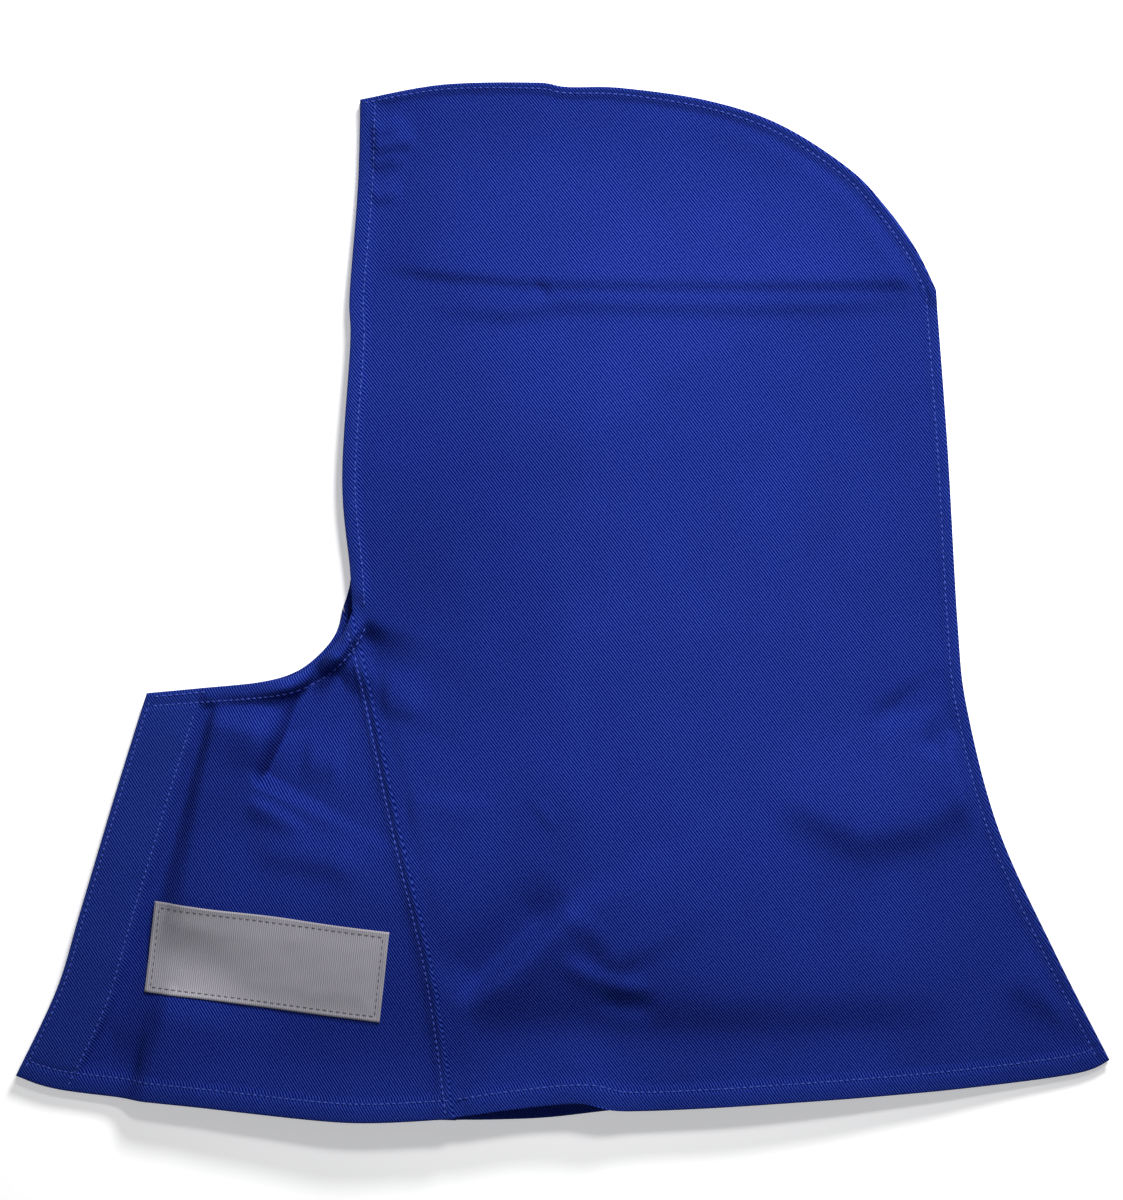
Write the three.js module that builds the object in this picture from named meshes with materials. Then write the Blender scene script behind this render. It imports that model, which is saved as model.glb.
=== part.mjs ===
// A welding hood sewn from royal blue cotton twill, lying on its right side with its front closed.
// Millimetres. +X runs from the front closure to the nape, +Y from the shoulder hem to the crown, +Z up.
// The right half lies flat on z = 0 and the left half arches over it, so the head space between stays open.
import * as THREE from "three";

// Cloth and sewing
const CLOTH = 1.2; // one layer of twill
const TURNED = 2.2; // a hem or seam allowance, pressed flat and topstitched
const TURN_STEP = 1.5; // run over which a turned edge thins to one layer
const FACE_HEM = 6; // edge to stitch line
const SHOULDER_HEM = 8;
const SEAM_ALLOWANCE = 4.5;
const PLACKET = 22; // doubled front edge that carries the hook-and-loop tape
const TAPE = { thick: 2, width: 20, edge: 1, ends: 10, rows: 8 }; // both halves, set in from the placket
const PIECE_GAP = 0.3; // clear space between pieces that lie on each other
const SEAM_GAP = 0.8; // clear space between two panels along their seam

// How the left half arches over the right
const LOFT = 30;
const NAPE_RUN = 165; // from the crown and nape seam up to the full arch
const FRONT_RUN = 150; // the same from the front closure
const OPEN_RUN = 110; // the same from an open edge
const FACE_SHARE = 0.4; // share of the arch that is left at the face opening
const SHOULDER_SHARE = 0.5; // and at the shoulder hem
const FOLD_REACH = 40; // folds grow to full height this far from the crown and nape seam
const PLACKET_REACH = 14; // and this far from the placket
const TAPE_REACH = 60; // past the placket, the rise over the tape has run out
const NECK_ROLL = { height: 5, spread: 6, dip: 3, behind: 13 }; // the neck hem curls up in front of a dip
const NECK_ROLL_FROM = { flatX: -135, fullX: -110 }; // it lies flat near the closure

// Woven label, sewn flat on the left bib
const LABEL = { width: 102, height: 39, thick: 1, x: -127, y: -155, turnDeg: -7.5, gap: 0.5 };
const LABEL_CELLS = { columns: 12, rows: 5 };

// Corners of the hood's side outline
const BROW = { x: -87, y: 215.4 }; // crown seam meets face opening
const CROWN_BACK = { x: 160, y: 133.7 }; // crown curve meets nape
const NAPE_HEM = { x: 234.5, y: -196.5 };
const CHIN = { x: -178.4, y: -39.1 }; // top of the front closure
const FRONT_HEM = { x: -234.5, y: -203 };

// Edges of the panels, as splines through the stations where their direction changes
const spline = (...stations) => new THREE.SplineCurve(stations.map(({ x, y }) => new THREE.Vector2(x, y)));

const crown = spline(
  BROW,
  { x: -52, y: 221.8 },
  { x: -11, y: 222.6 },
  { x: 25, y: 220.6 },
  { x: 62, y: 215 },
  { x: 93, y: 204.7 },
  { x: 122.6, y: 185.8 },
  { x: 138.7, y: 169 },
  { x: 151.5, y: 151 },
  CROWN_BACK,
);
const nape = spline(
  CROWN_BACK,
  { x: 165.1, y: 65.4 },
  { x: 169.4, y: -10 },
  { x: 173.5, y: -46.4 },
  { x: 187.1, y: -98 },
  { x: 210.7, y: -149.6 },
  NAPE_HEM,
);
const front = spline(
  CHIN,
  { x: -191.4, y: -80.8 },
  { x: -206.8, y: -132.4 },
  { x: -217, y: -166 },
  FRONT_HEM,
);

// The open edges differ a little between the halves: the left one has drawn up where it arches and rolls,
// while the right one lies at full length and shows past it at the throat and at the shoulder hem
function openEdges({ throat, neckBend, seamHem, sideHem }) {
  return {
    face: spline(
      BROW,
      { x: -88, y: 177 },
      { x: -91.3, y: 131 },
      { x: -90.9, y: 110 },
      { x: -94.2, y: 52 },
      { x: -91, y: 14 },
      throat,
    ),
    neck: spline(
      CHIN,
      { x: -156, y: -37 },
      { x: -130.3, y: -34.4 },
      { x: -115, y: -31.2 },
      ...neckBend,
      throat,
    ),
    seam: spline(throat, { x: -80.8, y: -43.4 }, { x: -70.1, y: -90.7 }, { x: -55, y: -155 }, seamHem),
    bibHem: spline(
      FRONT_HEM,
      { x: -213, y: -209.4 },
      { x: -155.7, y: -215.3 },
      { x: -92.5, y: -221 },
      seamHem,
    ),
    sideHem: spline(
      seamHem,
      ...sideHem,
      { x: 93, y: -213.7 },
      { x: 165, y: -208.8 },
      { x: 219, y: -202.5 },
      NAPE_HEM,
    ),
  };
}
const LEFT = openEdges({
  throat: { x: -90, y: -4 },
  neckBend: [{ x: -102.5, y: -23.6 }, { x: -94.3, y: -14 }],
  seamHem: { x: -46, y: -219.3 },
  sideHem: [{ x: -22, y: -215.8 }, { x: 9, y: -212.9 }, { x: 31, y: -216.5 }],
});
const RIGHT = openEdges({
  throat: { x: -94.6, y: -2.5 },
  neckBend: [{ x: -104, y: -22.8 }, { x: -97, y: -13.2 }],
  seamHem: { x: -46, y: -222.7 },
  sideHem: [{ x: -7, y: -221.6 }, { x: 31, y: -217.6 }],
});

// Folds of the left half: ridges where rise is positive, dents where it is negative, fading at both ends
const FOLDS = [
  { name: "packing crease, front", from: [-100, 146], to: [-2, 133], rise: -3, spread: 9 },
  { name: "packing crease, back", from: [-20, 133], to: [166, 133], rise: -3, spread: 9 },
  { name: "ridge under the crease", from: [-60, 117], to: [95, 118], rise: 2, spread: 9 },
  { name: "ridge beside the placket", from: [-148, -36], to: [-196, -185], rise: 4, spread: 7 },
  { name: "dent beside the ridge", from: [-136, -44], to: [-166, -125], rise: -4, spread: 8 },
  { name: "dart from the neck hem", from: [-104, -28], to: [-131, -84], rise: -7, spread: 7 },
  { name: "dip beside the throat", from: [-84, -17], to: [-70, -29], rise: -3, spread: 9 },
  { name: "lift of the shoulder hem", from: [14, -224], to: [-6, -150], rise: 6, spread: 15 },
  { name: "slack towards the nape", from: [110, -100], to: [222, -165], rise: -4, spread: 22 },
  { name: "slack beside the bib seam", from: [-42, -170], to: [-24, -212], rise: -3, spread: 12 },
];
const FOLD_FADE = 0.25; // share of a fold's length over which each end fades

const { clamp, lerp, smoothstep, degToRad } = THREE.MathUtils;

// Distance in plan from a point to an edge, measured on short chords of it
const EDGE_CHORDS = 60;
const chordCache = new Map();
function distanceTo(edge, x, y) {
  if (!chordCache.has(edge)) chordCache.set(edge, edge.getSpacedPoints(EDGE_CHORDS));
  const points = chordCache.get(edge);
  let nearest = Infinity;
  for (let k = 0; k < EDGE_CHORDS; k++) {
    nearest = Math.min(nearest, distanceToChord(points[k], points[k + 1], x, y).away);
  }
  return nearest;
}

function distanceToChord(a, b, x, y) {
  const run = new THREE.Vector2().subVectors(b, a);
  const share = clamp(((x - a.x) * run.x + (y - a.y) * run.y) / run.lengthSq(), 0, 1);
  return { share, away: Math.hypot(x - a.x - share * run.x, y - a.y - share * run.y) };
}

const evenly = (count) => Array.from({ length: count + 1 }, (_, k) => k / count);
const bump = (distance, spread) => Math.exp(-((distance / spread) ** 2));

// Height that the named folds add at a point
function foldHeight(x, y) {
  let height = 0;
  for (const { from, to, rise, spread } of FOLDS) {
    const { share, away } = distanceToChord(new THREE.Vector2(...from), new THREE.Vector2(...to), x, y);
    const fade = smoothstep(share, 0, FOLD_FADE) * smoothstep(1 - share, 0, FOLD_FADE);
    height += rise * fade * bump(away, spread);
  }
  return height;
}

// Underside of the left half: it lies on the right half along the crown, nape and closure, and arches between
function leftUnderside(x, y) {
  const toNape = Math.min(distanceTo(crown, x, y), distanceTo(nape, x, y));
  const toFront = distanceTo(front, x, y);
  const toNeck = distanceTo(LEFT.neck, x, y);
  const toFace = Math.min(distanceTo(LEFT.face, x, y), toNeck);
  const toHem = Math.min(distanceTo(LEFT.bibHem, x, y), distanceTo(LEFT.sideHem, x, y));
  const held = smoothstep(toNape, 0, NAPE_RUN) * smoothstep(toFront, PLACKET, FRONT_RUN);
  const openFace = lerp(FACE_SHARE, 1, smoothstep(toFace, 0, OPEN_RUN));
  const openShoulder = lerp(SHOULDER_SHARE, 1, smoothstep(toHem, 0, OPEN_RUN));
  const pastPlacket = toFront - PLACKET;
  const free = smoothstep(toNape, SEAM_ALLOWANCE, FOLD_REACH) * smoothstep(pastPlacket, 0, PLACKET_REACH);
  const rolled = smoothstep(x, NECK_ROLL_FROM.flatX, NECK_ROLL_FROM.fullX);
  const roll = NECK_ROLL.height * bump(toNeck, NECK_ROLL.spread);
  const dip = NECK_ROLL.dip * bump(toNeck - NECK_ROLL.behind, NECK_ROLL.spread);
  const overTape = (TAPE.thick + PIECE_GAP) * (1 - smoothstep(pastPlacket, PLACKET_REACH, TAPE_REACH));
  const arch = LOFT * held * openFace * openShoulder + free * (foldHeight(x, y) + rolled * (roll - dip));
  return TURNED + PIECE_GAP + overTape + Math.max(arch, 0);
}

// A patch between four edges: top and bottom run front to back, left and right run downwards
function patchBetween(top, right, bottom, left) {
  const [topLeft, topRight] = [top.getPointAt(0), top.getPointAt(1)];
  const [bottomLeft, bottomRight] = [bottom.getPointAt(0), bottom.getPointAt(1)];
  const blend = (u, v, axis) =>
    lerp(top.getPointAt(u)[axis], bottom.getPointAt(u)[axis], v) +
    lerp(left.getPointAt(v)[axis], right.getPointAt(v)[axis], u) -
    lerp(lerp(topLeft[axis], topRight[axis], u), lerp(bottomLeft[axis], bottomRight[axis], u), v);
  return (u, v) => ({ x: blend(u, v, "x"), y: blend(u, v, "y") });
}

// Grid lines over a length: the two turned edges, their steps, and even spacing between
function gridLines(count, length, firstTurn, lastTurn) {
  const first = [0, firstTurn, firstTurn + TURN_STEP].map((d) => d / length);
  const last = [lastTurn + TURN_STEP, lastTurn, 0].map((d) => 1 - d / length);
  const inner = evenly(count + 1).slice(1, -1);
  return [...first, ...inner.map((share) => lerp(first.at(-1), last[0], share)), ...last];
}

// A closed sheet over a grid: a box with that many cells, whose vertices move to the cloth's two faces
function sheetGeometry(across, down, vertexAt) {
  const geometry = new THREE.BoxGeometry(1, 1, 1, across, down, 1);
  const position = geometry.attributes.position;
  for (let k = 0; k < position.count; k++) {
    const column = Math.round((position.getX(k) + 0.5) * across);
    const row = Math.round((0.5 - position.getY(k)) * down);
    const { x, y, under, thick } = vertexAt(column, row);
    position.setXYZ(k, x, y, position.getZ(k) > 0 ? under + thick : under);
  }
  geometry.computeVertexNormals();
  return geometry;
}

// One cut of cloth between four edges, doubled along those that are turned
function panelGeometry({ top, right, bottom, left, turns, inner, underside }) {
  const place = patchBetween(top, right, bottom, left);
  const columnsOver = (length) => gridLines(inner.columns, length, turns.left, turns.right);
  const rowsOver = (length) => gridLines(inner.rows, length, turns.top, turns.bottom);
  const widthAt = (v) => left.getPointAt(v).distanceTo(right.getPointAt(v));
  const heightAt = (u) => top.getPointAt(u).distanceTo(bottom.getPointAt(u));
  const columns = columnsOver(widthAt(0.5));
  const rows = rowsOver(heightAt(0.5));
  const columnsByRow = rows.map((v) => columnsOver(widthAt(v)));
  const rowsByColumn = columns.map((u) => rowsOver(heightAt(u)));
  const [across, down] = [columns.length - 1, rows.length - 1];
  return sheetGeometry(across, down, (column, row) => {
    const [u, v] = [columnsByRow[row][column], rowsByColumn[column][row]];
    const { x, y } = place(u, v);
    const turnedLeft = column <= 1 && v <= turns.leftUntil;
    const turnedElsewhere = column >= across - 1 || row <= 1 || row >= down - 1;
    return { x, y, under: underside(x, y), thick: turnedLeft || turnedElsewhere ? TURNED : CLOTH };
  });
}

function moved(edge, dx, dy = 0) {
  return spline(...edge.points.map(({ x, y }) => ({ x: x + dx, y: y + dy })));
}

// The same edge with only its last station moved along X
function shortened(edge, dx) {
  const last = edge.points.length - 1;
  return spline(...edge.points.map(({ x, y }, k) => ({ x: k === last ? x - dx : x, y })));
}

function joined(...edges) {
  const path = new THREE.CurvePath();
  edges.forEach((edge) => path.add(edge));
  return path;
}

// The head and shoulder panel of one half
function sidePanel({ face, seam, sideHem }, underside, inner) {
  const left = joined(face, seam);
  const turns = {
    left: FACE_HEM,
    leftUntil: face.getLength() / left.getLength(),
    right: SEAM_ALLOWANCE,
    top: SEAM_ALLOWANCE,
    bottom: SHOULDER_HEM,
  };
  return panelGeometry({ top: crown, right: nape, bottom: sideHem, left, turns, inner, underside });
}

// The throat and chest panel of one half, clear of the side panel along their seam
function bibPanel({ neck, seam, bibHem }, underside, inner) {
  const turns = { left: PLACKET, leftUntil: 1, right: SEAM_ALLOWANCE, top: FACE_HEM, bottom: SHOULDER_HEM };
  return panelGeometry({
    top: shortened(neck, SEAM_GAP),
    right: moved(seam, -SEAM_GAP),
    bottom: shortened(bibHem, SEAM_GAP),
    left: front,
    turns,
    inner,
    underside,
  });
}

// The fastened hook-and-loop tape, a strip between the two plackets
function closureTape() {
  const run = new THREE.Vector2(CHIN.y - FRONT_HEM.y, FRONT_HEM.x - CHIN.x).normalize();
  const inward = (distance) => moved(front, distance * run.x, distance * run.y);
  const [outer, inner] = [inward(TAPE.edge), inward(TAPE.edge + TAPE.width)];
  const across = (share) => spline(outer.getPointAt(share), inner.getPointAt(share));
  const place = patchBetween(across(0), inner, across(1), outer);
  const end = TAPE.ends / front.getLength();
  const rows = evenly(TAPE.rows).map((share) => lerp(end, 1 - end, share));
  const level = { under: TURNED + PIECE_GAP, thick: TAPE.thick };
  return sheetGeometry(1, TAPE.rows, (column, row) => ({ ...place(column, rows[row]), ...level }));
}

// The woven label, lying on the cloth of the left bib
function wovenLabel() {
  const { width, height, thick, gap, turnDeg } = LABEL;
  const { columns, rows } = LABEL_CELLS;
  return sheetGeometry(columns, rows, (column, row) => {
    const corner = new THREE.Vector2((column / columns - 0.5) * width, (0.5 - row / rows) * height);
    corner.rotateAround(new THREE.Vector2(), degToRad(turnDeg));
    const [x, y] = [LABEL.x + corner.x, LABEL.y + corner.y];
    return { x, y, under: leftUnderside(x, y) + CLOTH + gap, thick };
  });
}

const onTable = () => 0;
const twill = new THREE.MeshStandardMaterial({ color: "#1d3288", roughness: 0.9, metalness: 0 });
const tapeNylon = new THREE.MeshStandardMaterial({ color: "#14235f", roughness: 0.95, metalness: 0 });
const labelSatin = new THREE.MeshStandardMaterial({ color: "#94919a", roughness: 0.6, metalness: 0 });

const hood = new THREE.Group();
function addPiece(name, material, geometry) {
  const mesh = new THREE.Mesh(geometry, material);
  mesh.name = name;
  hood.add(mesh);
}
addPiece("right_side_panel", twill, sidePanel(RIGHT, onTable, { columns: 12, rows: 16 }));
addPiece("right_bib", twill, bibPanel(RIGHT, onTable, { columns: 5, rows: 8 }));
addPiece("closure_tape", tapeNylon, closureTape());
addPiece("left_bib", twill, bibPanel(LEFT, leftUnderside, { columns: 12, rows: 16 }));
addPiece("left_side_panel", twill, sidePanel(LEFT, leftUnderside, { columns: 20, rows: 28 }));
addPiece("label", labelSatin, wovenLabel());

export default hood;
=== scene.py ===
# %% [markdown]
# # A welding hood, laid flat
# The real thing is a soft hood that covers head, neck and shoulders under a welding helmet. It is sewn
# from flame-resistant cotton twill: two mirrored side panels, two bibs under the chin, a placket with
# hook-and-loop tape in front, and a woven label. It lies closed on its right side, so the wearer's left
# half shows. Cloth like this could be draped by simulation, but then every outline would drift. Here each
# panel is a closed sheet whose shape is worked out from an outline in plan, one arch and a table of folds.

import math

import bpy
import numpy as np
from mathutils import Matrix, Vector


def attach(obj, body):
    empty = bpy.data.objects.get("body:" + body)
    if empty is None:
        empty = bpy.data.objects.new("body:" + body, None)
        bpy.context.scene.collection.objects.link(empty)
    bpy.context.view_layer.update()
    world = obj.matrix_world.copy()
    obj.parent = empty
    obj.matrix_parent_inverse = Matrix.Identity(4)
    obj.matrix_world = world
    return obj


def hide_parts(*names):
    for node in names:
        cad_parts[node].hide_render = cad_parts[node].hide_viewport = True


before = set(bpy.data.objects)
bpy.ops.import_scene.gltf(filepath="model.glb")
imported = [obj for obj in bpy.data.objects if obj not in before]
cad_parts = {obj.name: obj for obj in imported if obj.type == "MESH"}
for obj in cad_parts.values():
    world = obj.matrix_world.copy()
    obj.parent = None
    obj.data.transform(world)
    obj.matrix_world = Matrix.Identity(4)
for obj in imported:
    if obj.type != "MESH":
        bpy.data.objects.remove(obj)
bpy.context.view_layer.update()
MM = 0.001
print("frame loaded with", sorted(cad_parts))

# %% [markdown]
# ## The outline
# A pattern cutter draws a panel as a few smooth edges that meet at corners. Each edge here is a spline
# through the stations where its direction changes, in millimetres: x runs from the front closure to the nape
# and y from the shoulder hem to the crown. The edge is then sampled at even steps, so that stitches can be
# counted along it.

# %% Corners and edges
BROW, CROWN_BACK, NAPE_HEM = (-87, 215.4), (160, 133.7), (234.5, -196.5)
CHIN, FRONT_HEM = (-178.4, -39.1), (-234.5, -203)
SEAM_STATIONS = [(-80.8, -43.4), (-70.1, -90.7), (-55, -155)]
SPAN_STEPS = 40  # points of a spline between two stations
EDGE_STEPS = 240  # even steps of a finished edge


def edge_through(*stations):
    """A smooth edge through these stations, as points at even steps along it."""
    knots = np.array([stations[0], *stations, stations[-1]], float)
    t = np.linspace(0, 1, SPAN_STEPS + 1)[:-1, None]
    dense = []
    for before, start, end, after in zip(knots, knots[1:], knots[2:], knots[3:]):
        out, into = (end - before) / 2, (after - start) / 2
        cubic = 2 * start - 2 * end + out + into
        square = 3 * end - 3 * start - 2 * out - into
        dense.append(cubic * t**3 + square * t**2 + out * t + start)
    return evenly(np.vstack([*dense, knots[-1:]]))


def evenly(points):
    """The same line with its points at even steps."""
    run = np.concatenate([[0], np.cumsum(np.hypot(*np.diff(points, axis=0).T))])
    at = np.linspace(0, run[-1], EDGE_STEPS + 1)
    return np.column_stack([np.interp(at, run, points[:, k]) for k in (0, 1)])


def length_of(edge):
    return float(np.hypot(*np.diff(edge, axis=0).T).sum())


crown = edge_through(
    BROW, (-52, 221.8), (-12, 222.7), (1.5, 220.8), (25, 220.4), (62, 215), (93, 204.7), (122.6, 185.8),
    (138.7, 169), (151.5, 151), CROWN_BACK,
)
nape = edge_through(
    CROWN_BACK, (165.1, 65.4), (169.4, -10), (173.5, -46.4), (187.1, -98), (210.7, -149.6), NAPE_HEM
)
front = edge_through(CHIN, (-191.4, -80.8), (-206.8, -132.4), (-217, -166), FRONT_HEM)
print("crown and nape seam", round(length_of(crown) + length_of(nape)), "mm")


# %% Edges of the two halves
def open_edges(throat, neck_bend, seam_hem, side_hem):
    """All edges of a half. The open ones differ a little, because only the left half arches and rolls."""
    return {
        "face": edge_through(
            BROW, (-88, 177), (-91.3, 131), (-90.9, 110), (-94.2, 52), (-91, 14), throat
        ),
        "neck": edge_through(CHIN, (-156, -37), (-130.3, -34.4), *neck_bend, throat),
        "seam": edge_through(throat, *SEAM_STATIONS, seam_hem),
        "bib_hem": edge_through(FRONT_HEM, (-213, -209.4), (-155.7, -215.3), (-92.5, -221), seam_hem),
        "side_hem": edge_through(
            seam_hem, *side_hem, (93, -213.7), (165, -208.8), (219, -202.5), NAPE_HEM
        ),
        "crown": crown,
        "nape": nape,
        "front": front,
    }


LEFT = open_edges(
    throat=(-90, -4),
    neck_bend=[(-115, -31.2), (-102.5, -23.6), (-94.3, -14)],
    seam_hem=(-46, -219.3),
    side_hem=[(-22, -215.8), (9, -212.9), (31, -216.5)],
)
RIGHT = open_edges(
    throat=(-94.6, -2.5),
    neck_bend=[(-115.4, -30.2), (-104.9, -22.6), (-97.4, -13)],
    seam_hem=(-46, -222.7),
    side_hem=[(-7, -221.6), (31, -217.6)],
)
shoulder_hem = length_of(LEFT["bib_hem"]) + length_of(LEFT["side_hem"])
print("face edge", round(length_of(LEFT["face"])), "mm, shoulder hem", round(shoulder_hem), "mm")

# %% [markdown]
# ## The arch and the folds
# The right half lies flat. The left half is held down along the crown, the nape and the closure, and arches
# between them because twill is stiff; at the face and at the shoulder hem it stays a finger's width open.
# A fold is a line in plan with a rise: positive makes a ridge, negative a dent. Giving a fold a different
# spread on each of its two sides makes the crisp, lopsided creases that pressed cotton has, which a plain
# bump can't show.

# %% Distances and soft steps
FAR = 1e9  # farther than any point of the hood, in millimetres


def soft(value, low, high):
    """0 below low, 1 above high, and a smooth step between."""
    t = np.clip((value - low) / (high - low), 0, 1)
    return t * t * (3 - 2 * t)


def hump(distance, spread):
    return np.exp(-((distance / spread) ** 2))


def nearest(edge, x, y, stride=3):
    """Distance in plan from points to an edge and how far along it that is, on chords of stride steps."""
    away, run_at = np.full(np.shape(x), FAR), np.zeros(np.shape(x))
    run = 0.0
    knots = edge[::stride]
    for a, b in zip(knots, knots[1:]):
        step = b - a
        chord = math.hypot(*step)
        t = np.clip(((x - a[0]) * step[0] + (y - a[1]) * step[1]) / chord**2, 0, 1)
        d = np.hypot(x - a[0] - t * step[0], y - a[1] - t * step[1])
        closer = d < away
        away = np.where(closer, d, away)
        run_at = np.where(closer, run + t * chord, run_at)
        run += chord
    return away, run_at


throat_gap = nearest(LEFT["neck"], *RIGHT["neck"][-1])[0]
print("the right half shows", round(float(throat_gap), 1), "mm past the left one at the throat")

# %% Folds of the left half
# Each row: the rise, the spread to the left and to the right of the run (several where it changes along it),
# the share of the run over which its start and its end fade, and the stations of the run.
PACKING_CREASE = [(-82, 143), (-73.7, 140.5), (-54.5, 137.1), (-35.3, 135.4), (-16.2, 133.3), (3, 132.5),
                  (75, 132.4), (125, 133.4), (162, 134.5)]
CREST_BACK = 5  # from the crease back to the crest of its step
FOLDS = [
    # packing crease: two steps down towards the shoulders, the upper one with a crisp line and a kink
    (3.4, 60, 6, 0.12, 0.05, [(x, y + CREST_BACK) for x, y in PACKING_CREASE]),
    (-1.2, 2.4, 2.4, 0.12, 0.05, PACKING_CREASE),
    (2.7, 16, 4.5, 0.2, 0.2,
     [(-68, 131), (-43, 126), (-21, 124), (-2, 128), (30, 127.5), (67, 127), (110, 128), (155, 132)]),
    (-1.6, 2.2, 2.2, 0.3, 0.3, [(-12, 136), (-6, 128.5)]),
    # a faint upright crease below it
    (1.8, 9, 36, 0.3, 0.2, [(-4, 50), (0, -20), (2, -110)]),
    # short pulls beside the top of the face hem
    (3.4, 6, 2.6, 0.15, 0.4, [(-82, 194), (-62, 198.6)]),
    (2.2, 5, 2.4, 0.15, 0.4, [(-82, 201.4), (-66, 205)]),
    (2.2, 5, 2.4, 0.15, 0.4, [(-82, 187), (-67, 191)]),
    (1.8, 5, 2.4, 0.15, 0.4, [(-82, 172.6), (-68, 175.8)]),
    # beside the placket the bib stands up in a steep facet, which flattens under the label and goes on
    # below it; a dent runs along its foot, and a dip lies above the hem's front corner
    (7.2, 34, (2.8, 14), 0.12, 0.27, [(-146.5, -40), (-152.9, -75), (-158.6, -115.5), (-164, -156)]),
    (7.2, 34, 7.5, 0.3, 0.06, [(-164, -156), (-169, -178), (-174, -197), (-180, -218), (-184, -234)]),
    (-1.8, (3, 7), 3, 0.06, 0.1, [(-148.4, -42), (-159.7, -79), (-173.3, -128), (-189, -170), (-204, -198)]),
    (-2.4, 12, 8, 0.3, 0.1, [(-216, -191), (-196, -196), (-180, -199)]),
    # the swell round the dart below the neck hem, its high side, the ridge at its tip and the waves under it
    (6.5, 28, 28, 0.2, 0.5, [(-98, -12), (-110, -38), (-128, -86), (-134, -106)]),
    (5.2, 8, 16, 0.25, 0.4, [(-109, -26), (-123.5, -50), (-136, -77)]),
    (2.4, 2.8, 6, 0.25, 0.4, [(-136.5, -83.5), (-123, -90.5), (-107, -100)]),
    (1.8, 8, 7, 0.3, 0.3, [(-113, -67), (-92, -70)]),
    (2.6, 9, 7, 0.25, 0.35, [(-136, -104), (-116, -107), (-98, -110), (-79, -119.5)]),
    # the allowances stand up along the bib seam; short folds start there and at the throat
    (1.7, 26, (1.6, 3.4), 0.25, 0.2, [(-88, -10), *SEAM_STATIONS, (-46, -219)]),
    (-1.7, 4, 3, 0.25, 0.5, [(-88, -13), (-75, -19)]),
    (1.6, 14, 4, 0.2, 0.5, [(-79, -44), (-56, -46)]),
    (1.2, 4, 9, 0.1, 0.4, [(-66, -85), (-26, -87)]),
    # the knocked-in tent above the shoulder hem: a valley, its ridge, the crease from its tip, a ridge
    # across with a dip under it, and a faint line above
    (-4.6, 3.4, 16, 0.3, 0.25, [(3, -121.5), (-19.5, -142.5), (-48, -170)]),
    (4.8, 12, 3.4, 0.15, 0.35, [(9, -126), (-13, -148.7), (-44, -178)]),
    (3.2, 26, 7, 0.3, 0.25, [(6, -118), (27, -160)]),
    (2.0, 4, 5.5, 0.25, 0.3, [(-4, -150.5), (10, -157.5), (24, -162.5), (40, -165)]),
    (-2.0, 5, 5, 0.35, 0.35, [(12, -168.5), (42, -172)]),
    (0.7, 3, 2, 0.3, 0.3, [(-13, -82), (-3, -97)]),
    # the fall towards the shoulder hem, the lift of the hem beside the bib seam and its outward curl
    (2.2, 26, 15, 0.25, 0.1, [(-46, -163), (10, -160), (60, -164), (110, -166), (180, -164)]),
    (-2.6, 12, 18, 0.25, 0.15, [(-46, -184), (20, -184), (90, -186), (165, -184)]),
    (3.0, 16, 11, 0.02, 0.5, [(14, -226), (8, -200), (2, -170)]),
    (4.4, 18, 10, 0.2, 0.35, [(-182, -212), (-92, -221), (-46, -220), (9, -214), (50, -217)]),
    # slack below the nape: a shallow swag, two short pulls and a lifted corner of the hem
    (7.0, 26, 12, 0.4, 0.02, [(82, -66), (102, -84), (128, -97), (151, -93), (180, -76)]),
    (-3.8, 4, 5, 0.3, 0.3, [(169, -45), (156, -67)]),
    (-3.2, 5, 6, 0.4, 0.2, [(126, -55), (150, -42), (168, -33)]),
    (3.0, 20, 9, 0.3, 0.05, [(186, -156), (206, -168), (230, -176)]),
]
# the dart under the neck hem is pressed in: its profile has a sharp bottom
SHARP_FOLDS = [
    (-13, 20, (6.5, 2), 0.2, 0.1, [(-100, -20), (-109.1, -36.4), (-119.5, -58), (-130, -79.3)]),
]
print(len(FOLDS) + len(SHARP_FOLDS), "folds")


# %% Height of the folds
FOLD_STRIDE = 8  # a fold is smooth enough for longer chords than an edge


def spread_along(spread, share):
    """The spread at a share of the run; several values are spaced evenly along it."""
    values = np.atleast_1d(spread)
    return np.interp(share, np.linspace(0, 1, len(values)), values)


def left_of(crease, share, x, y):
    """Whether points lie to the left of a crease, as seen along its run."""
    k = np.clip((share * EDGE_STEPS).astype(int), 0, EDGE_STEPS - 1)
    ahead = crease[k + 1] - crease[k]
    return ahead[..., 0] * (y - crease[k][..., 1]) - ahead[..., 1] * (x - crease[k][..., 0]) > 0


def fold_height(x, y):
    """What all the folds add at these points; a power of 2 rounds the profile and 1 makes it sharp."""
    total = np.zeros(np.shape(x))
    for power, rows in ((2, FOLDS), (1, SHARP_FOLDS)):
        for rise, left, right, start, end, stations in rows:
            crease = evenly(np.array(stations, float))
            away, run_at = nearest(crease, x, y, FOLD_STRIDE)
            share = run_at / length_of(crease)
            sides = spread_along(left, share), spread_along(right, share)
            near = away / np.where(left_of(crease, share, x, y), *sides)
            fade = soft(share, 0, start) * soft(1 - share, 0, end)
            total += rise * fade * np.exp(-(near**power))
    return total


dart = SHARP_FOLDS[0][-1][1]
print("bottom of the dart", round(float(fold_height(*np.array([dart], float).T)[0]), 1), "mm")

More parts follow.
